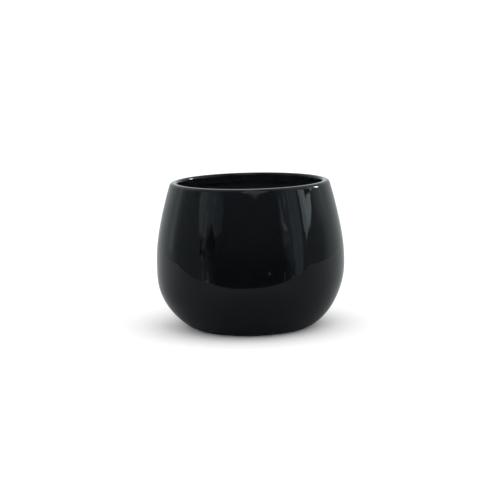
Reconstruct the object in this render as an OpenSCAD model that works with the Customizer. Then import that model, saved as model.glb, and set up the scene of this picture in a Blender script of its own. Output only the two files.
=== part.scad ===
// Round-bellied pot in gloss black glaze, with a thick, rounded lip and a bare clay foot ring.
// All sizes are in millimetres. The origin is the centre of the foot ring's ground face,
// and +Z points up through the mouth.
//
// The outline is set out with a compass: a tight arc from the foot to the belly, a wide one over
// the belly, a nearly straight one up the neck and a small one round the lip. Each touches the
// next, so the centres follow from the radii and from how far each centre lies below the belly.
// The lip has a short flat on top and a tighter rounding on its inner side.
// The inside wall and the glaze coats use the same centres, so each has an even thickness.

/* [Overall] */
// Diameter at the belly, over the glaze
belly_d = 170; // [160:1:180]
// Height of the belly's widest line
belly_z = 59; // [58:0.25:60]
// Height to the top of the lip
pot_h = 131.9; // [131.3:0.1:132.5]

/* [Outline] */
// Radius of the arc from the foot to the belly
lower_r = 60.99; // [60:0.01:62]
// Depth of that arc's centre below the belly's widest line
lower_drop = 6.09; // [4:0.01:7]
// Radius of the arc over the belly
shoulder_r = 149.4; // [145:0.1:155]
// Radius of the arc from the shoulder to the lip
neck_r = 338.1; // [330:0.1:350]
// Depth of that arc's centre below the belly's widest line
neck_drop = 30; // [28:0.1:31]

/* [Walls] */
// Thickness of the wall and the floor, with both glaze coats
wall_t = 6.5; // [6:0.1:7]
// Thickness of the lip, over the glaze
lip_t = 7.3; // [7.2:0.1:7.8]
// Radius of the lip's outer rounding
lip_r = 3.9; // [3.6:0.1:4.2]
// Radius of the lip's inner rounding
lip_in_r = 2.4; // [2:0.1:3]
// Thickness of each glaze coat
glaze_t = 0.5; // [0.3:0.05:0.6]
// Height of the straight stretch inside the mouth, under the lip's rounding
land_h = 5.5; // [4.5:0.5:6]
// Radius between the inside wall and the flat inside floor
fillet_r = 19.4; // [14:0.1:24]

/* [Foot] */
// Outside diameter of the foot ring
foot_d = 107; // [103:1:108]
// Width of the ring's section
foot_w = 8; // [6:0.5:9]
// Height that the ring holds the pot off the ground
foot_h = 1.6; // [1.2:0.1:2]
// Depth of the seat in the floor that the ring is luted into
seat_h = 1.4; // [1:0.1:2]
// Bevel on the ring's two ground edges
foot_bevel = 0.6; // [0.4:0.1:0.8]
// Height of the bare margin between the underside and the glaze
bare_h = 0.6; // [0.4:0.1:1]

/* [Joints] */
// Height that each bevelled seam climbs through the wall
seam_h = 8; // [7:0.5:10]
// Depth of the lip's seam below the centre of the lip's outer rounding
coil_h = 9; // [8.5:0.5:11]

/* [Hidden] */
$fn = 192;

// The side of a right-angled triangle, from its longest side and its other side.
function leg(longest, other) = sqrt(longest ^ 2 - other ^ 2);

// Compass points of the outline: [distance from the axis, height].
shoulder_c = [belly_d / 2 - shoulder_r, belly_z];
lower_c = shoulder_c + [leg(shoulder_r - lower_r, lower_drop), -lower_drop];
neck_c = shoulder_c - [leg(neck_r - shoulder_r, neck_drop), neck_drop];
lip_z = pot_h - lip_r;
lip_c = [neck_c.x + leg(neck_r - lip_r, lip_z - neck_c.y), lip_z];

// Slope of the line through each pair of compass points, as a sine: two arcs touch on that line.
lower_sin = -lower_drop / (shoulder_r - lower_r);
neck_sin = neck_drop / (neck_r - shoulder_r);
lip_sin = (lip_c.y - neck_c.y) / (neck_r - lip_r);

// Levels of the glazed floor and of the underside around the ring.
base_z = foot_h;
floor_z = base_z + wall_t;

// Compass point of the fillet, which touches the inside floor and the inside of the lower arc.
fillet_span = lower_r - wall_t - fillet_r;
fillet_drop = lower_c.y - floor_z - fillet_r;
fillet_c = lower_c + [leg(fillet_span, fillet_drop), -fillet_drop];
fillet_sin = -fillet_drop / fillet_span;

// Clear radius of the mouth, compass point of the lip's inner rounding, and the level where the
// mouth's straight stretch ends.
mouth_r = lip_c.x + lip_r - lip_t;
lip_in_c = [mouth_r + lip_in_r, pot_h - lip_in_r];
land_z = lip_in_c.y - land_h;

foot_r = foot_d / 2;

// Further out and higher than any part of the pot.
reach = belly_d;

// Rise of a 45 degree corner for each unit that its two sides move out.
corner_grow = tan(22.5);

CLAY = [0.12, 0.11, 0.11];
OUTER_GLAZE = [0.02, 0.02, 0.025];
INNER_GLAZE = [0.04, 0.04, 0.045];

// A rectangle given by its inner, lower, outer and upper edges.
module block(inner, low, outer, high) {
    polygon([[inner, low], [outer, low], [outer, high], [inner, high]]);
}

// The part of a disc that lies between two distances from the axis and between two levels.
module slice(centre, radius, low, high, inner = 0, outer = reach) {
    intersection() {
        translate(centre) circle(radius);
        block(inner, low, outer, high);
    }
}

// Half section of everything inside the outer surface, sunk by depth below the glaze.
module outline(depth) {
    low_join = belly_z + (shoulder_r - depth) * lower_sin;
    high_join = belly_z + (shoulder_r - depth) * neck_sin;
    lip_join = neck_c.y + (neck_r - depth) * lip_sin;
    slice(lower_c, lower_r - depth, base_z, low_join);
    slice(shoulder_c, shoulder_r - depth, low_join, high_join);
    slice(neck_c, neck_r - depth, high_join, lip_join, lip_c.x);
    slice(lip_c, lip_r - depth, lip_c.y, pot_h, lip_c.x);
    slice(lip_in_c, lip_in_r - depth, lip_in_c.y, pot_h, 0, lip_in_c.x);
    block(0, high_join, lip_c.x, lip_in_c.y);
    block(lip_in_c.x, lip_in_c.y, lip_c.x, pot_h - depth);
}

// Half section of the hollow, grown by depth into the glaze.
module hollow(depth) {
    inset = wall_t - depth;
    low_join = belly_z + (shoulder_r - inset) * lower_sin;
    high_join = belly_z + (shoulder_r - inset) * neck_sin;
    fillet_join = lower_c.y + (lower_r - inset) * fillet_sin;
    throat_r = mouth_r + depth;
    throat_z = land_z + depth * corner_grow;
    intersection() {
        union() {
            block(0, floor_z - depth, fillet_c.x, fillet_join);
            slice(fillet_c, fillet_r + depth, floor_z - depth, fillet_join);
            slice(lower_c, lower_r - inset, fillet_join, low_join);
            slice(shoulder_c, shoulder_r - inset, low_join, high_join);
            slice(neck_c, neck_r - inset, high_join, throat_z);
        }
        polygon([[0, 0], [throat_r + throat_z, 0], [throat_r, throat_z], [0, throat_z]]);
    }
    block(0, throat_z, throat_r, lip_in_c.y);
}

// The middle of the wall's thickness at height z, on the arc with this centre and radius.
function mid_wall(centre, radius, z) = [centre.x + leg(radius - wall_t / 2, z - centre.y), z];

// Everything below a seam that climbs outwards at 45 degrees through the point middle.
module below_seam(middle) {
    half = [seam_h, seam_h] / 2;
    inner = middle - half;
    outer = middle + half;
    polygon([[0, 0], [reach, 0], [reach, outer.y], outer, inner, [0, inner.y]]);
}

module below_belly_seam() below_seam(mid_wall(shoulder_c, shoulder_r, belly_z));

module below_lip_seam() below_seam(mid_wall(neck_c, neck_r, lip_c.y - coil_h));

// Half section of the foot ring, bevelled at the ground.
module ring_section() {
    inner_r = foot_r - foot_w;
    top = foot_h + seat_h;
    polygon([
        [inner_r + foot_bevel, 0], [foot_r - foot_bevel, 0], [foot_r, foot_bevel],
        [foot_r, top], [inner_r, top], [inner_r, foot_bevel]
    ]);
}

// Half section of the clay above the foot ring.
module clay_section() {
    difference() {
        outline(glaze_t);
        hollow(glaze_t);
        ring_section();
    }
}

// Bare ring that the pot stands on, set into the floor.
module foot_ring() {
    color(CLAY) rotate_extrude() ring_section();
}

// Floor and lower wall, up to the belly seam.
module lower_bowl() {
    color(CLAY) rotate_extrude() intersection() {
        clay_section();
        below_belly_seam();
    }
}

// Wall from the belly seam to the lip seam.
module upper_wall() {
    color(CLAY) rotate_extrude() difference() {
        intersection() {
            clay_section();
            below_lip_seam();
        }
        below_belly_seam();
    }
}

// Lip, with the straight stretch of the mouth below it.
module lip_coil() {
    color(CLAY) rotate_extrude() difference() {
        clay_section();
        below_lip_seam();
    }
}

// Coat from just above the foot, up the outside and over the lip.
module outer_glaze() {
    color(OUTER_GLAZE) rotate_extrude() difference() {
        outline(0);
        outline(glaze_t);
        hollow(glaze_t);
        block(0, 0, reach, base_z + bare_h);
    }
}

// Coat over the floor and up the inside to the lip's inner edge.
module inner_glaze() {
    color(INNER_GLAZE) rotate_extrude() difference() {
        hollow(glaze_t);
        hollow(0);
    }
}

foot_ring();
lower_bowl();
upper_wall();
lip_coil();
outer_glaze();
inner_glaze();
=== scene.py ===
# Looks for the gloss black pot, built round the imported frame.
#
# Every piece is turned on the same lathe: a closed section in millimetres, set out with the same
# compass as the CAD model, goes once round the axis. The pieces share one slight warp, so they
# still fit each other. Lengths are in millimetres up to build(), which makes metres of them.
#
# The materials and the studio are in metres. The camera sees a plain pale floor and backdrop, but
# the glaze doesn't mirror them: it mirrors a table top and a room that only mirror rays see.

import math

import bpy
import numpy as np
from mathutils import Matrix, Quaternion, Vector


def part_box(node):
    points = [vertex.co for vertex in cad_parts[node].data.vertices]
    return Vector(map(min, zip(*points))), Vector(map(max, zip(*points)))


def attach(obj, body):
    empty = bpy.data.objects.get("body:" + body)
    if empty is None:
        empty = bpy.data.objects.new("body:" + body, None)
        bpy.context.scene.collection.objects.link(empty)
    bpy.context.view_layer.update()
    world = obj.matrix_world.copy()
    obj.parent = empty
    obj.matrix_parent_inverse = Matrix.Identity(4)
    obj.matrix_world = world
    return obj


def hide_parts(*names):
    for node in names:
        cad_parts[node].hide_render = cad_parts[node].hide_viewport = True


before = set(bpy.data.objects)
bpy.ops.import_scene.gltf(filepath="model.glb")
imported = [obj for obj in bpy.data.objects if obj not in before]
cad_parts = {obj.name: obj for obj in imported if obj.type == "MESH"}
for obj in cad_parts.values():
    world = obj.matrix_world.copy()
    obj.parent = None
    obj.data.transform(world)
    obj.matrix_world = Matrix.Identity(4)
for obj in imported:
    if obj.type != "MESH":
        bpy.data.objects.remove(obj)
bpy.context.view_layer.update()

MM = 0.001


def corners(node):
    """Lowest and highest corner of a CAD node, in millimetres."""
    low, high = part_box(node)
    return low / MM, high / MM


# ---------------------------------------------------------------- sizes from the frame

GLAZE_LOW, GLAZE_HIGH = corners("outer_glaze")
RING_HIGH = corners("foot_ring")[1]

BELLY_R = GLAZE_HIGH.x
POT_H = GLAZE_HIGH.z
GLAZE_EDGE_Z = GLAZE_LOW.z
BASE_Z = corners("lower_bowl")[0].z
RING_R = RING_HIGH.x
RING_TOP = RING_HIGH.z
LIP_IN_Z = corners("inner_glaze")[1].z

# ---------------------------------------------------------------- the compass of the outline

# These repeat the CAD model's values, because the frame's boxes don't show them.
BELLY_Z = 59.0                     # height of the belly's widest line
LOWER_R, LOWER_DROP = 60.99, 6.09  # arc from foot to belly, and its centre's depth below BELLY_Z
SHOULDER_R = 149.4                 # arc over the belly
NECK_R, NECK_DROP = 338.1, 30.0    # arc from shoulder to lip, and its centre's depth
LIP_R = 3.9                        # the lip's outer rounding
LIP_T = 7.3                        # thickness of the lip
WALL_T = 6.5                       # thickness of the wall and the floor, with both glaze coats
GLAZE_T = 0.5                      # thickness of each glaze coat
RING_W = 8.0                       # width of the foot ring's section
LAND_H = 5.5                       # height of the straight stretch inside the mouth
FILLET_R = 19.4                    # between the inside wall and the inside floor
COIL_H = 9.0                       # from the middle of the lip's seam up to LIP_Z

# Rise of a 45 degree corner for each unit that its two sides move out.
CORNER_GROW = math.tan(math.pi / 8)


def leg(longest, other):
    """The side of a right-angled triangle, from its longest side and its other side."""
    return math.sqrt(longest**2 - other**2)


FLOOR_Z = BASE_Z + WALL_T
LIP_Z = POT_H - LIP_R
LIP_IN_R = POT_H - LIP_IN_Z
SHOULDER_C = np.array([BELLY_R - SHOULDER_R, BELLY_Z])
LOWER_C = SHOULDER_C + [leg(SHOULDER_R - LOWER_R, LOWER_DROP), -LOWER_DROP]
NECK_C = SHOULDER_C - [leg(NECK_R - SHOULDER_R, NECK_DROP), NECK_DROP]
LIP_C = np.array([NECK_C[0] + leg(NECK_R - LIP_R, LIP_Z - NECK_C[1]), LIP_Z])
MOUTH_R = LIP_C[0] + LIP_R - LIP_T
LIP_IN_C = np.array([MOUTH_R + LIP_IN_R, LIP_IN_Z])
LAND_Z = LIP_IN_Z - LAND_H

# Angles at which one arc of the outline hands over to the next.
LOWER_TURN = -math.asin(LOWER_DROP / (SHOULDER_R - LOWER_R))
NECK_TURN = math.asin(NECK_DROP / (NECK_R - SHOULDER_R))
LIP_TURN = math.asin((LIP_Z - NECK_C[1]) / (NECK_R - LIP_R))

FILLET_SPAN = LOWER_R - WALL_T - FILLET_R
FILLET_DROP = LOWER_C[1] - FLOOR_Z - FILLET_R
FILLET_C = LOWER_C + [leg(FILLET_SPAN, FILLET_DROP), -FILLET_DROP]
FILLET_TURN = -math.asin(FILLET_DROP / FILLET_SPAN)

# The wall's big arcs from the foot up, and the angles between which each one is used.
WALL_ARCS = (
    (LOWER_C, LOWER_R, -math.inf, LOWER_TURN),
    (SHOULDER_C, SHOULDER_R, LOWER_TURN, NECK_TURN),
    (NECK_C, NECK_R, NECK_TURN, math.inf),
)

# ---------------------------------------------------------------- mesh density

SEGMENTS = 360   # points round a ring
FINE = 0.9       # between rings on the outer coat's face
INNER = 1.1      # between rings on the inner coat's face
LIP_STEP = 0.34  # between rings round the lip
COARSE = 3.0     # between rings where glaze and clay meet
CLAY = 1.2       # between rings on clay
SMALL = 0.4      # between rings on a seam or a narrow face
TIGHT = 0.2      # between rings round a small edge
SLIVER = 1e-6    # too short a stretch to keep


# ---------------------------------------------------------------- section paths


def arc(centre, radius, start, end, step):
    """Points on a circle between two angles in radians, about step apart."""
    count = max(2, round(abs(end - start) * radius / step) + 1)
    turn = np.linspace(start, end, count)
    return centre + radius * np.column_stack((np.cos(turn), np.sin(turn)))


def line(start, end, step):
    """Points on a straight line, about step apart."""
    start, end = np.asarray(start, float), np.asarray(end, float)
    count = max(2, round(np.linalg.norm(end - start) / step) + 1)
    return start + (end - start) * np.linspace(0, 1, count)[:, None]


def travel(path):
    """Distance along a path at each of its points."""
    return np.append(0, np.cumsum(np.linalg.norm(np.diff(path, axis=0), axis=1)))


def trimmed(path, cut):
    """A path without its last stretch of length cut."""
    at = travel(path)
    stop = at[-1] - cut
    kept = path[at < stop - SLIVER]
    end = [np.interp(stop, at, path[:, k]) for k in range(2)]
    return np.vstack((kept, end))


def rounded(before, after, cut):
    """Two paths that share a corner, with the corner eased over cut on either side."""
    corner = before[-1]
    first = trimmed(before, cut)
    last = trimmed(after[::-1], cut)[::-1]
    count = max(3, round(2 * cut / TIGHT))
    t = np.linspace(0, 1, count)[1:-1, None]
    ease = (1 - t) ** 2 * first[-1] + 2 * t * (1 - t) * corner + t**2 * last[0]
    return np.vstack((first, ease, last))


def chain(*paths):
    """Paths end to end, with the shared points kept once."""
    return np.vstack([paths[0]] + [path[1:] for path in paths[1:]])


def turn_at(centre, radius, z):
    """Angle at which a circle passes height z on its outer side, or that of its nearest point."""
    return math.asin(max(-1, min(1, (z - centre[1]) / radius)))


def wall_side(depth, start, end, step):
    """The outline's three big arcs sunk by depth, between two heights, going up."""
    pieces = []
    for centre, radius, lowest, highest in WALL_ARCS:
        sunk = radius - depth
        first = max(lowest, turn_at(centre, sunk, start))
        last = min(highest, turn_at(centre, sunk, end))
        if last > first + SLIVER:
            pieces.append(arc(centre, sunk, first, last, step))
    return chain(*pieces)


def lip_join_z(depth):
    """Height at which the neck's arc touches the lip's circle."""
    return NECK_C[1] + (NECK_R - depth) * math.sin(LIP_TURN)


def crown(depth, step):
    """Over the lip, from the neck to the mouth's inner edge: round, flat and then round again."""
    outer = arc(LIP_C, LIP_R - depth, LIP_TURN, math.pi / 2, step)
    inner = arc(LIP_IN_C, LIP_IN_R - depth, math.pi / 2, math.pi, step)
    return chain(outer, line(outer[-1], inner[0], step), inner)


def throat(depth):
    """Corner under the mouth's straight stretch, and where its bevel meets the inside wall."""
    top = np.array([MOUTH_R + depth, LAND_Z + depth * CORNER_GROW])
    radius = NECK_R - WALL_T + depth
    reach = top.sum() - NECK_C.sum()
    foot_z = NECK_C[1] + (reach - math.sqrt(2 * radius**2 - reach**2)) / 2
    return top, np.array([top.sum() - foot_z, foot_z])


def inside_wall(depth, start, end, step):
    """The inside wall's big arcs, grown by depth into the glaze, between two heights, going up."""
    return wall_side(WALL_T - depth, start, end, step)


def fillet_end_z(depth):
    """Height at which the inside wall hands over to the fillet."""
    return LOWER_C[1] + (LOWER_R - WALL_T + depth) * math.sin(FILLET_TURN)


def inside_bottom(depth, step):
    """From the axis along the inside floor and round the fillet."""
    flat = line([0, FLOOR_Z - depth], [FILLET_C[0], FLOOR_Z - depth], step)
    return chain(flat, arc(FILLET_C, FILLET_R + depth, -math.pi / 2, FILLET_TURN, step))


def seam(centre, radius, z):
    """Inner and outer end of a 45 degree seam whose middle is at height z of the wall."""
    middle = np.array([centre[0] + leg(radius - WALL_T / 2, z - centre[1]), z])
    slope = np.array([1, 1]) / math.sqrt(2)
    from_centre = middle - centre
    along = from_centre @ slope
    ends = []
    for depth in (WALL_T - GLAZE_T, GLAZE_T):
        short = from_centre @ from_centre - (radius - depth) ** 2
        ends.append(middle + (math.sqrt(along**2 - short) - along) * slope)
    return ends


BELLY_SEAM = seam(SHOULDER_C, SHOULDER_R, BELLY_Z)
LIP_SEAM = seam(NECK_C, NECK_R, LIP_Z - COIL_H)

# ---------------------------------------------------------------- relief left by the making


def smooth(x, low, high):
    """0 below low and 1 above high, with a smooth change between them."""
    t = np.clip((x - low) / (high - low), 0, 1)
    return t * t * (3 - 2 * t)


def ripples(turn, along, pitch, seed):
    """A seeded, seamless wavy field from about -1 to 1, with waves about pitch long."""
    count = 14
    draw = np.random.default_rng(seed)
    total = np.zeros(np.broadcast_shapes(turn.shape, along.shape))
    for _ in range(count):
        heading = draw.uniform(0, math.pi)
        length = pitch * draw.uniform(0.75, 1.4)
        around = round(2 * math.pi * BELLY_R * math.cos(heading) / length)
        climb = 2 * math.pi * math.sin(heading) / length
        total += np.sin(around * turn + climb * along + draw.uniform(0, 2 * math.pi))
    return total / math.sqrt(2 * count)


# A relief takes a path's points, the distance along the path to each of them and the angles round
# the axis, and gives how far the surface stands out from the path.


def thrown_outside(points, along, turn):
    """Faint swells of a turned and sponged wall under glaze, and the glaze's own flow."""
    swell_height, swell_pitch = 0.03, 43
    flow_height, flow_pitch = 0.0035, 16
    wander = 0.5 * np.sin(turn + 0.7)
    swell = swell_height * np.sin(2 * math.pi * along / swell_pitch + wander)
    return swell + flow_height * ripples(turn, along, flow_pitch, seed=11)


def thrown_inside(points, along, turn):
    """Finger ridges that spiral up the inside, stronger low down, with the glaze run over them."""
    pitch, least, more_low = 7.5, 0.006, 0.07
    flow_height, flow_pitch = 0.004, 21
    ridge = np.sin(2 * math.pi * along / pitch - turn + 0.4 * np.sin(2 * turn))
    strength = least + more_low * (1 - smooth(points[:, 1:2], 30, 95))
    return strength * ridge + flow_height * ripples(turn, along, flow_pitch, seed=23)


def turned_underside(points, along, turn):
    """Spiral tool marks and a little chatter from trimming the foot."""
    groove_height, groove_pitch = 0.07, 2.6
    chatter_height, chatter_marks = 0.012, 44
    drag_height, drag_pitch = 0.02, 9
    radius = points[:, :1]
    groove = np.abs(np.sin(math.pi * radius / groove_pitch - turn / 2))
    chatter = np.sin(chatter_marks * turn + radius * 0.5) * smooth(radius, 12, 30)
    drag = ripples(turn, radius, drag_pitch, seed=31)
    return groove_height * groove + chatter_height * chatter + drag_height * drag


def scored_seam(points, along, turn):
    """Cross-hatched scoring, filled with slip, where two clay pieces are luted together."""
    depth, strokes = 0.12, 90
    return depth * np.sin(2 * along + strokes * turn) * np.sin(2 * along - strokes * turn)


# Chips on the foot's ground edges: angle round the axis, distance from it, width and depth.
CHIPS = ((0.9, 53.2, 1.5, 0.45), (2.7, 45.9, 1.1, 0.3), (4.4, 53.2, 1.0, 0.3))


def worn_foot(points, along, turn):
    """The ring's section worn down and dragged by grit, with the chips on its ground edges."""
    worn, drag_height, drag_pitch = 0.08, 0.03, 4
    drag = drag_height * ripples(turn, along, drag_pitch, seed=41)
    drag = drag + 0.02 * np.sin(5 * turn + 1) - worn
    chips = np.zeros_like(drag)
    for angle, r, width, depth in CHIPS:
        apart = np.angle(np.exp(1j * (turn - angle))) * r
        away = np.hypot(apart, np.hypot(points[:, :1] - r, points[:, 1:2]) * 1.4)
        chips += depth * (1 - smooth(away, 0.2 * width, width))
    return drag - chips


def rough_clay(points, along, turn):
    """A sponged clay face."""
    height, pitch = 0.02, 6
    return height * ripples(turn, along, pitch, seed=53)


# ---------------------------------------------------------------- the lathe


def outward(path):
    """Unit normals of a path, to the right of its direction."""
    along = np.gradient(path, axis=0)
    along /= np.linalg.norm(along, axis=1)[:, None]
    return np.column_stack((along[:, 1], -along[:, 0]))


def fade(end_point):
    """The stretch over which relief grows from an end of a path: a long one at the axis."""
    long, short = 10.0, 2.5
    return long if end_point[0] < TIGHT else short


def relieved(path, relief, turn):
    """Section points at every angle, moved along the normal by a relief that fades at both ends."""
    rings = np.repeat(path[:, None, :], len(turn), axis=1)
    if relief is None:
        return rings
    at = travel(path)[:, None]
    shown = smooth(at, 0, fade(path[0])) * smooth(at[-1] - at, 0, fade(path[-1]))
    move = relief(path, at, turn[None, :]) * shown
    return rings + outward(path)[:, None, :] * move[:, :, None]


def wandering(rings, turn):
    """Slides the outer glaze's lower edge along the clay, so that it wanders round the foot."""
    middle, swing, pitch = 0.45, 0.3, 34
    offset = rings - LOWER_C
    angle = np.arctan2(offset[..., 1], offset[..., 0])
    start = turn_at(LOWER_C, LOWER_R, GLAZE_EDGE_Z)
    reach = 1 - smooth(angle, start, start + 0.1)
    rise = middle + swing * ripples(turn, np.zeros(1), pitch, seed=61)[None, :]
    slid = angle + reach * np.clip(rise, 0.05, 0.9) / LOWER_R
    radius = np.linalg.norm(offset, axis=-1)
    return LOWER_C + radius[..., None] * np.stack((np.cos(slid), np.sin(slid)), axis=-1)


# The most that the shared warp moves anything: the rim's two and three lobes and half its dip, the
# lower wall's slump to the left and the lip's lean to the right.
TWO_LOBES, THREE_LOBES, HALF_DIP, SLUMP, LEAN = 0.16, 0.06, 0.07, 0.95, 0.65


def warped(radius, z, turn):
    """The whole pot's shared warp, as points: a touch out of round and out of level towards the
    lip, with the lower wall slumped to the left and the neck leaning a little to the right."""
    rise = np.clip(z / POT_H, 0, 1)
    spread = np.clip(radius / MOUTH_R, 0, 1)
    oval = TWO_LOBES * np.cos(2 * turn - 1.1) + THREE_LOBES * np.cos(3 * turn + 0.4)
    dip = HALF_DIP * (1 + np.cos(turn - 2.2)) * smooth(rise, 0.1, 1) * spread
    slump = SLUMP * np.sin(math.pi * np.clip(z / BELLY_Z, 0, 1)) ** 2 * spread
    lean = LEAN * np.clip((z - BELLY_Z) / (POT_H - BELLY_Z), 0, 1) ** 2
    radius = radius + oval * smooth(rise, 0.05, 1) * spread
    across = radius * np.cos(turn) - slump + lean
    return np.stack((across, radius * np.sin(turn), z - dip), axis=-1)


def ring_faces(rings, count, closed=False):
    """Four-cornered faces between neighbouring rings of points, and back to the first if closed."""
    low = np.arange(rings if closed else rings - 1)[:, None] * count
    high = (low + count) % (rings * count)
    here = np.arange(count)[None, :]
    there = (here + 1) % count
    return np.stack((low + here, low + there, high + there, high + here), axis=-1).reshape(-1, 4)


def pole_faces(rings):
    """Triangles from the first and the last ring to the two poles, the points after all rings."""
    first_pole, last_pole = rings * SEGMENTS, rings * SEGMENTS + 1
    last_ring = (rings - 1) * SEGMENTS
    faces = []
    for j in range(SEGMENTS):
        k = (j + 1) % SEGMENTS
        faces.append([first_pole, k, j])
        faces.append([last_pole, last_ring + j, last_ring + k])
    return faces


def add_mesh(name, points, faces, smooth_shading=True):
    """A mesh object in the scene, from points in metres."""
    mesh = bpy.data.meshes.new(name)
    mesh.from_pydata(points.tolist(), [], faces)
    mesh.polygons.foreach_set("use_smooth", [smooth_shading] * len(mesh.polygons))
    obj = bpy.data.objects.new(name, mesh)
    bpy.context.scene.collection.objects.link(obj)
    return obj


def build(name, stretches, adjust=None):
    """Turns a closed section into a mesh. stretches is a list of (path, relief), end to end, which
    makes a loop or runs from the axis to the axis."""
    turn = np.arange(SEGMENTS) * 2 * math.pi / SEGMENTS
    rings = chain(*(relieved(path, relief, turn) for path, relief in stretches))
    on_axis = rings[0, 0, 0] < TIGHT / 2
    pole_heights = rings[[0, -1], 0, 1]
    rings = rings[1:-1] if on_axis else rings[:-1]
    if adjust is not None:
        rings = adjust(rings, turn)
    points = warped(rings[..., 0], rings[..., 1], turn[None, :]).reshape(-1, 3)
    faces = ring_faces(len(rings), SEGMENTS, not on_axis).tolist()
    if on_axis:
        points = np.vstack((points, [[0, 0, z] for z in pole_heights]))
        faces += pole_faces(len(rings))
    piece = add_mesh(name, points * MM, faces)
    piece.data.set_sharp_from_angle(angle=math.radians(50))
    return piece


def finish_piece(piece, node, material):
    """Gives a piece its material and its place in the frame."""
    piece.data.materials.append(material)
    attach(piece, "root")
    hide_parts(node)


# ---------------------------------------------------------------- the pieces


def outer_glaze():
    """The outside coat: a soft lower edge, the wall, and over the lip to its inner edge."""
    bead, bead_points = 0.4, 9
    start = turn_at(LOWER_C, LOWER_R, GLAZE_EDGE_Z) + bead / LOWER_R
    swing = np.linspace(-math.pi / 2, math.pi / 2, bead_points)
    half = GLAZE_T / 2
    radius = LOWER_R - half + half * np.sin(swing)
    angle = start - bead * np.cos(swing) / LOWER_R
    edge = LOWER_C + radius[:, None] * np.column_stack((np.cos(angle), np.sin(angle)))
    wall = wall_side(0, edge[-1, 1], lip_join_z(0), FINE)
    lip = crown(0, LIP_STEP)
    meeting = line([MOUTH_R, LIP_IN_Z], [MOUTH_R + GLAZE_T, LIP_IN_Z], TIGHT)
    lip_back = crown(GLAZE_T, 2 * LIP_STEP)[::-1]
    wall_back = wall_side(GLAZE_T, edge[0, 1], lip_join_z(GLAZE_T), COARSE)[::-1]
    return build(
        "outer_glaze_coat",
        [
            (edge, None),
            (chain(wall, lip), thrown_outside),
            (meeting, None),
            (chain(lip_back, wall_back), None),
        ],
        wandering,
    )


def inside_skin(depth, ease, step):
    """The hollow's outline from the mouth down to the axis, with its throat eased."""
    top, foot = throat(depth)
    land = line([MOUTH_R + depth, LIP_IN_Z], top, step)
    bevel = line(top, foot, step)
    wall = inside_wall(depth, fillet_end_z(depth), foot[1], step)[::-1]
    upper = rounded(rounded(land, bevel, ease), wall, 1.5 * ease)
    return chain(upper, inside_bottom(depth, step)[::-1])


def inner_glaze():
    """The inside coat: along the clay from the axis to the mouth, and back over its own face."""
    clay_side = inside_skin(GLAZE_T, 0.4, COARSE)[::-1]
    meeting = line([MOUTH_R + GLAZE_T, LIP_IN_Z], [MOUTH_R, LIP_IN_Z], TIGHT)
    face = inside_skin(0, 1.6, INNER)
    return build("inner_glaze_coat", [(clay_side, None), (meeting, None), (face, thrown_inside)])


def foot_ring():
    """The bare ring, worn round at the ground and square where it sits in the floor."""
    inner, wear = RING_R - RING_W, 0.75
    ground = line([inner, 0], [RING_R, 0], SMALL)
    outer = line([RING_R, 0], [RING_R, RING_TOP], SMALL)
    top = line([RING_R, RING_TOP], [inner, RING_TOP], CLAY)
    bore = line([inner, RING_TOP], [inner, 0], SMALL)
    worn = rounded(rounded(bore, ground, wear), outer, wear)
    return build("foot_ring_clay", [(worn, worn_foot), (top, rough_clay)])


def lower_bowl():
    """The floor and lower wall, with the ring's seat and a bare, turned underside."""
    inner = RING_R - RING_W
    edge_r = LOWER_C[0] + leg(LOWER_R - GLAZE_T, LOWER_C[1] - BASE_Z)
    centre = line([0, BASE_Z], [inner, BASE_Z], CLAY)
    seat_in = line([inner, BASE_Z], [inner, RING_TOP], SMALL)
    seat_top = line([inner, RING_TOP], [RING_R, RING_TOP], CLAY)
    seat_out = line([RING_R, RING_TOP], [RING_R, BASE_Z], SMALL)
    margin = line([RING_R, BASE_Z], [edge_r, BASE_Z], SMALL)
    wall = wall_side(GLAZE_T, BASE_Z, BELLY_SEAM[1][1], CLAY)
    joint = line(BELLY_SEAM[1], BELLY_SEAM[0], SMALL)
    hollow_wall = inside_wall(GLAZE_T, fillet_end_z(GLAZE_T), BELLY_SEAM[0][1], CLAY)[::-1]
    bottom = inside_bottom(GLAZE_T, CLAY)[::-1]
    return build(
        "lower_bowl_clay",
        [
            (centre, turned_underside),
            (chain(seat_in, seat_top, seat_out), None),
            (rounded(margin, wall, 0.3), None),
            (joint, scored_seam),
            (chain(hollow_wall, bottom), None),
        ],
    )


def upper_wall():
    """The shoulder and neck, between the two bevelled seams."""
    foot_joint = line(BELLY_SEAM[0], BELLY_SEAM[1], SMALL)
    outside = wall_side(GLAZE_T, BELLY_SEAM[1][1], LIP_SEAM[1][1], CLAY)
    head_joint = line(LIP_SEAM[1], LIP_SEAM[0], SMALL)
    hollow_wall = inside_wall(GLAZE_T, BELLY_SEAM[0][1], LIP_SEAM[0][1], CLAY)[::-1]
    return build(
        "upper_wall_clay",
        [
            (foot_joint, scored_seam),
            (outside, None),
            (head_joint, scored_seam),
            (hollow_wall, None),
        ],
    )


def lip_coil():
    """The coil that thickens the lip, above the upper seam."""
    top, foot = throat(GLAZE_T)
    joint = line(LIP_SEAM[0], LIP_SEAM[1], SMALL)
    outside = wall_side(GLAZE_T, LIP_SEAM[1][1], lip_join_z(GLAZE_T), CLAY)
    rim = crown(GLAZE_T, 2 * LIP_STEP)
    land = line([MOUTH_R + GLAZE_T, LIP_IN_Z], top, CLAY)
    bevel = line(top, foot, CLAY)
    hollow_wall = inside_wall(GLAZE_T, LIP_SEAM[0][1], foot[1], CLAY)[::-1]
    return build(
        "lip_coil_clay",
        [
            (joint, scored_seam),
            (chain(outside, rim), None),
            (chain(land, bevel, hollow_wall), None),
        ],
    )


# ---------------------------------------------------------------- materials

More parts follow.
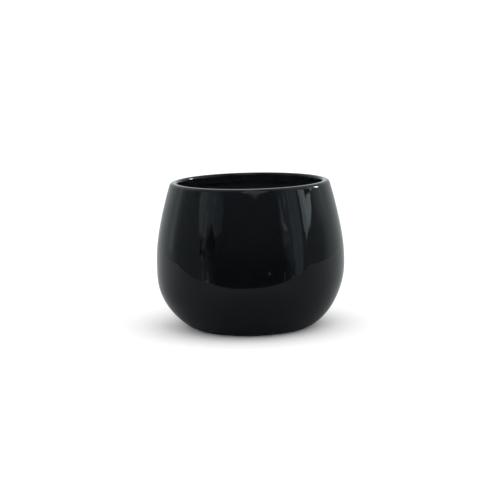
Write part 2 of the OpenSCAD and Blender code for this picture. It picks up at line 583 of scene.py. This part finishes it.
# Linear colours. The glaze's are those at the lip, further down, and where it thins to its edge.
# The inner coat's hold painted light: lifted above the outer coat's black, and most further down,
# to stand in for the light seen inside the hollow.
OUTER_RIM, OUTER_WALL = (0.0012, 0.0013, 0.0016), (0.0016, 0.0018, 0.0021)
INNER_RIM_WITH_PAINTED_LIGHT, INNER_WALL_WITH_PAINTED_LIGHT = (0.0044, 0.0049, 0.0054), (0.0145, 0.0160, 0.0175)
THIN_GLAZE = (0.009, 0.007, 0.006)
DARK_CLAY, PALE_CLAY = (0.0115, 0.010, 0.009), (0.029, 0.0255, 0.0235)
GROG, IRON = (0.12, 0.109, 0.098), (0.004, 0.0032, 0.003)
RUBBED_CLAY = (0.10, 0.09, 0.082)
BLACK = (0.0, 0.0, 0.0)


class Paint:
    """A node material with one Principled shader, and short ways to add nodes to it."""

    def __init__(self, name):
        self.material = bpy.data.materials.new(name)
        self.material.use_nodes = True
        self.tree = self.material.node_tree
        self.shader = self.tree.nodes["Principled BSDF"]
        self.place = self.add("ShaderNodeTexCoord").outputs["Object"]

    def add(self, kind, inputs=None, **settings):
        """A node with its properties set, and its inputs given a value or another node's output."""
        node = self.tree.nodes.new(kind)
        for key, value in settings.items():
            setattr(node, key, value)
        for key, value in (inputs or {}).items():
            self.give(node.inputs[key], value)
        return node

    def give(self, socket, value):
        """Links an output to a socket, or sets the socket's own value, a colour's without alpha."""
        if isinstance(value, bpy.types.NodeSocket):
            self.tree.links.new(value, socket)
        elif socket.type == "RGBA":
            socket.default_value = (*value, 1)
        else:
            socket.default_value = value

    def finished(self, inputs):
        """The material, once its shader's inputs are given their values."""
        for key, value in inputs.items():
            self.give(self.shader.inputs[key], value)
        return self.material

    def noise(self, size, detail=2.0, rough=0.5):
        """Noise of a given grain size in metres, from 0 to 1."""
        inputs = {"Vector": self.place, "Scale": 1 / size, "Detail": detail, "Roughness": rough}
        return self.add("ShaderNodeTexNoise", inputs).outputs["Fac"]

    def spots(self, spacing, radius):
        """1 inside small round spots scattered about spacing apart, and 0 between them."""
        cells = self.add("ShaderNodeTexVoronoi", {"Vector": self.place, "Scale": 1 / spacing})
        return self.remap(cells.outputs["Distance"], radius / spacing, 0.5 * radius / spacing, 0, 1)

    def height(self):
        """Height above the ground in metres."""
        return self.add("ShaderNodeSeparateXYZ", {"Vector": self.place}).outputs["Z"]

    def remap(self, value, low, high, to_low, to_high):
        """A value brought smoothly from one range to another, and held at its ends."""
        inputs = {
            "Value": value,
            "From Min": low,
            "From Max": high,
            "To Min": to_low,
            "To Max": to_high,
        }
        kind = "ShaderNodeMapRange"
        return self.add(kind, inputs, interpolation_type="SMOOTHSTEP").outputs["Result"]

    def sums(self, operation, first, second):
        """Two numbers added, subtracted or multiplied."""
        return self.add("ShaderNodeMath", {0: first, 1: second}, operation=operation).outputs[0]

    def mixed(self, factor, first, second):
        """A colour between two colours, from the Mix node's two colour inputs."""
        inputs = {"Factor": factor, 6: first, 7: second}
        return self.add("ShaderNodeMix", inputs, data_type="RGBA").outputs[2]

    def bump(self, height, distance, normal=None):
        """A bump of a given full height in metres, on top of an earlier one."""
        inputs = {"Height": height, "Distance": distance}
        if normal is not None:
            inputs["Normal"] = normal
        return self.add("ShaderNodeBump", inputs).outputs["Normal"]


def glaze(name, rim_tone_and_painted_light, wall_tone_and_painted_light, rough_low, rough_high, mirror=0.5):
    """Gloss black glaze: mirror smooth, with a trace of flow, pinholes and thin, browner edges."""
    paint = Paint(name)
    z = paint.height()
    clouded = paint.mixed(paint.noise(0.05, 3), rim_tone_and_painted_light, tuple(1.6 * c for c in rim_tone_and_painted_light))
    rim_z, wall_z = 0.955 * POT_H * MM, 0.93 * POT_H * MM
    # Inner coat: painted light, paler from the lip down, standing in for light inside the hollow.
    body = paint.mixed(paint.remap(z, rim_z, wall_z, 0, 1), clouded, wall_tone_and_painted_light)
    uneven = paint.sums("MULTIPLY", paint.noise(0.006, 3), 0.0012)
    near_edge = paint.sums("SUBTRACT", z, uneven)
    thick_z, thin_z = (GLAZE_EDGE_Z + 1.6) * MM, (GLAZE_EDGE_Z - 0.6) * MM
    thinned = paint.remap(near_edge, thick_z, thin_z, 0, 0.8)
    smear = paint.remap(paint.noise(0.03, 4), 0.3, 0.75, rough_low, rough_high)
    pits = paint.spots(0.013, 0.00016)
    flow = paint.bump(paint.noise(0.0042, 1), 0.0000022)
    return paint.finished(
        {
            "Base Color": paint.mixed(thinned, body, THIN_GLAZE),
            "Roughness": paint.sums("ADD", smear, paint.sums("MULTIPLY", pits, 0.4)),
            "Normal": paint.bump(paint.sums("MULTIPLY", pits, -1.0), 0.00008, flow),
            "IOR": 1.5,
            "Specular IOR Level": mirror,
        }
    )


def bare_clay():
    """Fired dark clay, matte and gritty, rubbed paler where it meets the table."""
    paint = Paint("bare_clay")
    body = paint.mixed(paint.noise(0.014, 4, 0.6), DARK_CLAY, PALE_CLAY)
    grog = paint.spots(0.0017, 0.00032)
    speckled = paint.mixed(paint.sums("MULTIPLY", grog, 0.7), body, GROG)
    iron = paint.spots(0.0031, 0.00026)
    spotted = paint.mixed(paint.sums("MULTIPLY", iron, 0.85), speckled, IRON)
    low = paint.remap(paint.height(), 0.0006, 0.0, 0, 1)
    rub = paint.sums("MULTIPLY", low, paint.remap(paint.noise(0.003, 3), 0.35, 0.65, 0, 0.7))
    grain = paint.bump(paint.noise(0.0006, 3, 0.7), 0.00012)
    return paint.finished(
        {
            "Base Color": paint.mixed(rub, spotted, RUBBED_CLAY),
            "Roughness": paint.remap(paint.noise(0.002, 2), 0.3, 0.7, 0.78, 0.95),
            "Normal": paint.bump(grog, 0.00006, grain),
        }
    )


# ---------------------------------------------------------------- studio


def on_stage(obj, **rays):
    """Lets an object be seen by no other kinds of ray than the named ones."""
    for kind in ("camera", "diffuse", "glossy", "transmission", "volume_scatter", "shadow"):
        setattr(obj, "visible_" + kind, rays.get(kind, False))


def floor():
    """A plain pale floor that curves up into a plain backdrop all round."""
    bend_r, flat_r, top, count = 0.6, 1.9, 1.1, 96
    swing = np.linspace(0, math.pi / 2, 12)
    radius = np.concatenate(([0.001, 0.5, 1.2], flat_r + bend_r * np.sin(swing), [flat_r + bend_r]))
    height = np.concatenate(([0, 0, 0], bend_r * (1 - np.cos(swing)), [top]))
    turn = np.arange(count) * 2 * math.pi / count
    across, along = radius[:, None] * np.cos(turn), radius[:, None] * np.sin(turn)
    points = np.stack((across, along, np.repeat(height[:, None], count, axis=1)), axis=-1)
    faces = ring_faces(len(radius), count).tolist()
    obj = add_mesh("floor", points.reshape(-1, 3), faces)
    paint = Paint("pale_floor")
    shade = paint.mixed(paint.noise(0.4, 2), (0.9, 0.9, 0.9), (0.92, 0.92, 0.92))
    look = {"Base Color": shade, "Roughness": 0.9, "Specular IOR Level": 0.0}
    obj.data.materials.append(paint.finished(look))
    on_stage(obj, camera=True, diffuse=True, transmission=True)


def table_top():
    """Grey, with painted light and shade: darker towards the front and paler far behind, and a
    painted shadow of the pot before its foot.
    """
    paint = Paint("table_top")
    toward = paint.add("ShaderNodeVectorMath", {0: paint.place}, operation="NORMALIZE")
    behind = paint.add("ShaderNodeSeparateXYZ", {"Vector": toward.outputs[0]}).outputs["Y"]
    # Painted light: dark before the pot and pale far behind it, as light fell on the table.
    near, far = (0.18, 0.195, 0.21), (0.46, 0.49, 0.49)
    lit = paint.mixed(paint.remap(behind, -0.6, 1.3, 0, 1), near, far)
    # Painted shadow of the pot, darkening to black round a point just before its foot.
    ends = {0: paint.place, 1: (0.0, -0.09, 0.0)}
    from_shade = paint.add("ShaderNodeVectorMath", ends, operation="DISTANCE").outputs["Value"]
    tone = paint.mixed(paint.remap(from_shade, 0.02, 0.12, 0.25, 0), lit, BLACK)
    return paint.finished({"Base Color": tone, "Roughness": 1.0, "Specular IOR Level": 0.0})


def table():
    """The table top that the glaze mirrors below the horizon. Its front edge runs close before the
    pot, and its front left corner is cut off at a slant."""
    front, back, side, above = -0.222, 2.4, 0.72, 0.0002
    outline = ((-0.19, front), (side, front), (side, back), (-side, back), (-side, 0.05))
    points = np.array([(x, y, above) for x, y in outline])
    obj = add_mesh("table", points, [list(range(len(outline)))], smooth_shading=False)
    obj.data.materials.append(table_top())
    on_stage(obj, glossy=True)


# ---------------------------------------------------------------- the room that the glaze mirrors

# Directions are in degrees: azimuth from the camera's side towards +X, and elevation.

# How far aside the dark front gives way to the sides, and the sides to what is behind.
FRONT_TO_SIDE = (38, 62)
SIDE_TO_BACK = (98, 116)

# Tints of the light.
FRONT = (0.82, 1.0, 1.18)
SIDE = (0.84, 1.0, 1.08)
WINDOW = (0.84, 1.0, 1.05)
CLOTH = (0.80, 1.0, 1.13)
WHITE = (0.91, 1.0, 1.01)
WARM = (1.3, 0.95, 0.75)


def pane(left, right, low, high):
    """The outline of a rectangle of directions."""
    return (left, low), (right, low), (right, high), (left, high)


# What stands out in the room. Each row has a radiance that is added to the room's, or taken away
# where it is negative, the softness and the raggedness of its edge in degrees, its tint and its
# convex outline.
PANELS = (
    # In front on the left: a pale window with dark and warm things standing before it.
    (0.15, 1.0, 0.3, WINDOW, ((-76, 34), (-74.5, 19), (-71, 15), (-67, 11), (-62, 9), (-62, 34))),
    (0.14, 1.5, 0.8, WINDOW, (
        (-76, 34), (-74.5, 19), (-71, 15), (-67, 11), (-58, 11), (-50, 16.5), (-50, 34),
    )),
    (0.14, 1.5, 1.5, WINDOW, ((-51, 27), (-50, 16), (-45, 12), (-40, 12), (-36, 15), (-37, 25))),
    (0.10, 0.8, 0.4, WINDOW, ((-61, 12), (-60.5, 5.5), (-58, 5.5), (-57, 12))),
    (-0.12, 0.8, 0.3, WINDOW, ((-64.3, 9.5), (-64.3, 2), (-61.3, 2), (-61.5, 9.5))),
    (-0.10, 1.0, 0.6, WINDOW, pane(-62, -55, 1.5, 5)),
    (0.14, 1.0, 0.6, WARM, ((-60.5, 18), (-59, 11), (-57, 11), (-58, 18))),
    (0.18, 0.8, 0.4, WARM, pane(-61.5, -59, -1, 2)),
    (-0.11, 0.8, 0.5, WINDOW, (
        (-50.5, 15.5), (-54.5, 10.5), (-56, 6), (-44, 6), (-43, 9.5), (-48.5, 14),
    )),
    (-0.06, 1.0, 0.8, WINDOW, ((-54, 6.5), (-53, 0), (-44, 0), (-44, 6.5))),
    (0.10, 0.8, 0.4, WINDOW, ((-61.5, -4.5), (-61.5, -12.5), (-57.5, -12.5), (-58, -4.5))),
    (0.24, 0.6, 0.3, WINDOW, ((-53.8, -7), (-54.2, -13.5), (-52, -13.5), (-51.8, -7))),
    (0.36, 0.7, 0.3, WINDOW, pane(-58.5, -52.5, -14.2, -12)),
    # At the side on the left: a dark bar, and further back two small lights.
    (-0.13, 0.6, 0.3, WINDOW, ((-87, 20.5), (-86, 18.6), (-79.5, 18.9), (-79.5, 20.8))),
    (0.45, 1.0, 0.3, WINDOW, ((-99, 30), (-97.5, 24), (-94.5, 27), (-96, 32))),
    (0.42, 1.0, 0.3, WINDOW, ((-114, 43), (-112.5, 29), (-110, 29), (-110, 42))),
    # In front on the right: a hanging cloth with white strokes and warm spots round it.
    (0.10, 3.0, 2.0, CLOTH, ((38, 34), (40, 12), (44, 0), (56, -6), (56, 34))),
    (0.11, 1.2, 1.0, CLOTH, ((42, 20), (41, 15), (47, 8), (51, 9), (48, 14))),
    (0.22, 1.2, 0.5, CLOTH, ((54, 34), (55, -14), (65, -14), (71, 30), (71, 34))),
    (0.38, 0.7, 0.5, WHITE, ((49, 23), (48, 18.5), (49.5, 18.2), (51, 22.5))),
    (0.22, 0.7, 0.6, WHITE, ((41.8, 21), (42.6, 15), (44.4, 15), (43.6, 21))),
    (0.50, 0.7, 0.7, WHITE, ((43.3, 15.4), (44.3, 13.4), (50.2, 11.8), (50, 13.2), (46.5, 15.2))),
    (0.14, 0.8, 0.5, WARM, ((42.6, 11.2), (42.8, 8.6), (46, 8.4), (45.4, 11))),
    (0.26, 0.6, 0.3, WHITE, ((40.6, -7.5), (40.2, -14), (41.8, -14), (42.2, -7.5))),
    (0.45, 0.8, 0.3, WHITE, pane(21, 24, -8.6, -7.0)),
    (0.28, 0.6, 0.3, WARM, pane(51, 54, -13, -10.3)),
    # At the side on the right: a bright window, brighter in its middle, and the wall above it.
    (1.05, 0.8, 0.9, WINDOW, (
        (73.5, 22.5), (73.5, 5), (80, 8), (88, 11.4), (98, 14.5), (98, 17), (82, 21),
    )),
    (0.40, 2.0, 0.8, WINDOW, ((78, 19.5), (78, 8.2), (88, 12), (97, 14.8), (97, 17), (84, 19))),
    (0.25, 2.0, 0.0, WINDOW, ((74, 60), (74, 22), (98, 16), (100, 60))),
    # The soft light overhead.
    (0.60, 1.5, 0.8, WHITE, (
        (-14, 40), (-10, 30), (6, 26), (20, 27), (26, 31), (32, 40), (32, 88), (-14, 88),
    )),
    # The dark thing that covers the far end of the bright window.
    (-1.56, 0.6, 0.6, WINDOW, ((85.3, 16.25), (95.5, 14.3), (96, 20), (85.3, 21))),
    (-1.56, 0.4, 0.2, WINDOW, pane(84.0, 85.4, 15.1, 21)),
    # Behind on the right: a pale window with a glint at its near edge, in a wide soft glow, and a
    # narrow lamp.
    (0.75, 1.0, 0.8, WHITE, ((96, 36), (95.5, 18), (108, 14), (108, 36))),
    (1.6, 0.5, 0.3, WHITE, ((95.5, 16.2), (95.5, 14.9), (99.5, 14.7), (99.5, 16.0))),
    (0.13, 5.0, 0.0, WHITE, ((94, 36), (98, 8), (120, 6), (120, 36))),
    (30.0, 0.8, 0.0, WHITE, pane(111, 117, 13.5, 26)),
    # Behind on the left: a pale curtain, brighter at its far side.
    (0.14, 2.0, 0.8, WHITE, ((-121, 24), (-119, -2), (-109, -2), (-111, 13), (-116, 24))),
    (0.12, 2.0, 0.8, WHITE, pane(-121, -115, 12, 24)),
)


def wobble(azimuth, elevation, seed):
    """A seeded wavy field from about -1 to 1 over directions, in waves of a few degrees."""
    count = 12
    draw = np.random.default_rng(seed)
    total = np.zeros_like(azimuth)
    for _ in range(count):
        heading, phase = draw.uniform(0, 2 * math.pi, 2)
        pace = draw.uniform(0.7, 2.6)
        run = azimuth * math.cos(heading) + elevation * math.sin(heading)
        total += np.sin(pace * run + phase)
    return total / math.sqrt(2 * count)


def inside(azimuth, elevation, outline, soft, edge):
    """1 inside a convex outline and 0 outside it, with a soft edge that is moved out by edge."""
    ring = np.array(outline, float)
    following = np.roll(ring, -1, axis=0)
    if np.sum(ring[:, 0] * following[:, 1] - following[:, 0] * ring[:, 1]) < 0:
        ring, following = following, ring
    depth = np.full_like(azimuth, math.inf)
    for start, end in zip(ring, following):
        run = (end - start) / np.linalg.norm(end - start)
        depth = np.minimum(depth, run[0] * (elevation - start[1]) - run[1] * (azimuth - start[0]))
    return smooth(depth + edge, -soft / 2, soft / 2)


def bare_room(azimuth, elevation):
    """The room without its panels: dark in front, paler at the sides, bright behind, and brightest
    straight behind."""
    aside = np.abs(azimuth)
    front = (0.03 + 0.0034 * np.clip(elevation + 4, 0, 37))[..., None] * FRONT
    side = (0.18 + 0.003 * np.clip(elevation, 0, 60))[..., None] * SIDE
    side = side + 0.03 * smooth(aside, 78, 108)[..., None]
    straight = smooth(aside, 164, 180) * smooth(elevation, 2, 8)
    behind = 0.42 + 0.18 * smooth(aside, 108, 150) * (1 - 0.4 * smooth(elevation, 14, 34))
    behind = (behind + 0.42 * straight)[..., None] * WHITE
    light = front + (side - front) * smooth(aside, *FRONT_TO_SIDE)[..., None]
    return light + (behind - light) * smooth(aside, *SIDE_TO_BACK)[..., None]


def room_light(azimuth, elevation):
    """The room's radiance in each direction: the bare room and its faintly streaked panels."""
    darkest, streak_depth = 0.02, 0.16
    light = bare_room(azimuth, elevation)
    streak = 1 + streak_depth * wobble(azimuth * 0.9, elevation * 0.12, seed=71)
    unevenness = wobble(azimuth * 0.5, elevation * 1.1, seed=73)
    for radiance, soft, ragged, tint, outline in PANELS:
        shown = inside(azimuth, elevation, outline, soft, ragged * unevenness)
        light += (radiance * shown * streak)[..., None] * tint
    return np.maximum(light, darkest)


def glow(name, attribute):
    """A material that gives off the light in a mesh's colour attribute."""
    material = bpy.data.materials.new(name)
    material.use_nodes = True
    nodes, links = material.node_tree.nodes, material.node_tree.links
    nodes.clear()
    read = nodes.new("ShaderNodeAttribute")
    read.attribute_name = attribute
    emit = nodes.new("ShaderNodeEmission")
    out = nodes.new("ShaderNodeOutputMaterial")
    links.new(read.outputs["Color"], emit.inputs["Color"])
    links.new(emit.outputs[0], out.inputs["Surface"])
    material.cycles.emission_sampling = "NONE"
    return material


def room():
    """A dome that only mirror rays see, which gives off room_light."""
    reach, centre_z, step, lowest = 12.0, 0.06, 0.5, -30
    azimuth, elevation = np.meshgrid(
        np.arange(-180, 180, step), np.arange(lowest, 90 + step, step)
    )
    a, e = np.radians(azimuth), np.radians(elevation)
    toward = np.stack((np.sin(a) * np.cos(e), -np.cos(a) * np.cos(e), np.sin(e)), axis=-1)
    points = toward.reshape(-1, 3) * reach + [0, 0, centre_z]
    obj = add_mesh("room", points, ring_faces(*azimuth.shape).tolist())
    light = room_light(azimuth, elevation).reshape(-1, 3)
    colour = obj.data.attributes.new("light", "FLOAT_COLOR", "POINT")
    colour.data.foreach_set("color", np.column_stack((light, np.ones(len(light)))).ravel())
    obj.data.materials.append(glow("room_light", "light"))
    on_stage(obj, glossy=True)


# ---------------------------------------------------------------- light and camera


def studio_light():
    """Even white light all round, and one broad, soft lamp from above, in front on the right."""
    world = bpy.data.worlds.new("studio")
    world.use_nodes = True
    background = world.node_tree.nodes["Background"]
    background.inputs["Color"].default_value = (1, 1, 1, 1)
    background.inputs["Strength"].default_value = 1.3
    bpy.context.scene.world = world
    lamp = bpy.data.lights.new("soft_lamp", "SUN")
    lamp.energy = 0.5
    lamp.angle = math.radians(70)
    obj = bpy.data.objects.new("soft_lamp", lamp)
    toward = Vector((0.55, -0.45, 1.0)).normalized()
    obj.rotation_mode = "QUATERNION"
    obj.rotation_quaternion = toward.to_track_quat("Z", "Y")
    obj.visible_glossy = False
    bpy.context.scene.collection.objects.link(obj)


def camera():
    """A long lens straight before the pot, looking down a little and rolled by about a degree."""
    distance, above, roll = 1.382, math.radians(9.0), math.radians(1.29)
    aim = Vector((-0.0003, 0, 0.0684))
    data = bpy.data.cameras.new("camera")
    data.lens = 109.75
    data.sensor_width = 36
    data.clip_start, data.clip_end = 0.05, 20
    obj = bpy.data.objects.new("camera", data)
    forward = Vector((0, math.cos(above), -math.sin(above)))
    obj.location = aim - forward * distance
    obj.rotation_mode = "QUATERNION"
    obj.rotation_quaternion = forward.to_track_quat("-Z", "Y") @ Quaternion((0, 0, 1), -roll)
    bpy.context.scene.collection.objects.link(obj)
    bpy.context.scene.camera = obj


# ---------------------------------------------------------------- all together

clay = bare_clay()
outer_coat = glaze("outer_glaze", OUTER_RIM, OUTER_WALL, 0.018, 0.05)
inner_coat = glaze("inner_glaze", INNER_RIM_WITH_PAINTED_LIGHT, INNER_WALL_WITH_PAINTED_LIGHT, 0.14, 0.2, mirror=0.3)

finish_piece(foot_ring(), "foot_ring", clay)
finish_piece(lower_bowl(), "lower_bowl", clay)
finish_piece(upper_wall(), "upper_wall", clay)
finish_piece(lip_coil(), "lip_coil", clay)
finish_piece(outer_glaze(), "outer_glaze", outer_coat)
finish_piece(inner_glaze(), "inner_glaze", inner_coat)

floor()
table()
room()
studio_light()
camera()
bpy.context.scene.view_settings.view_transform = "Standard"

bpy.context.view_layer.update()
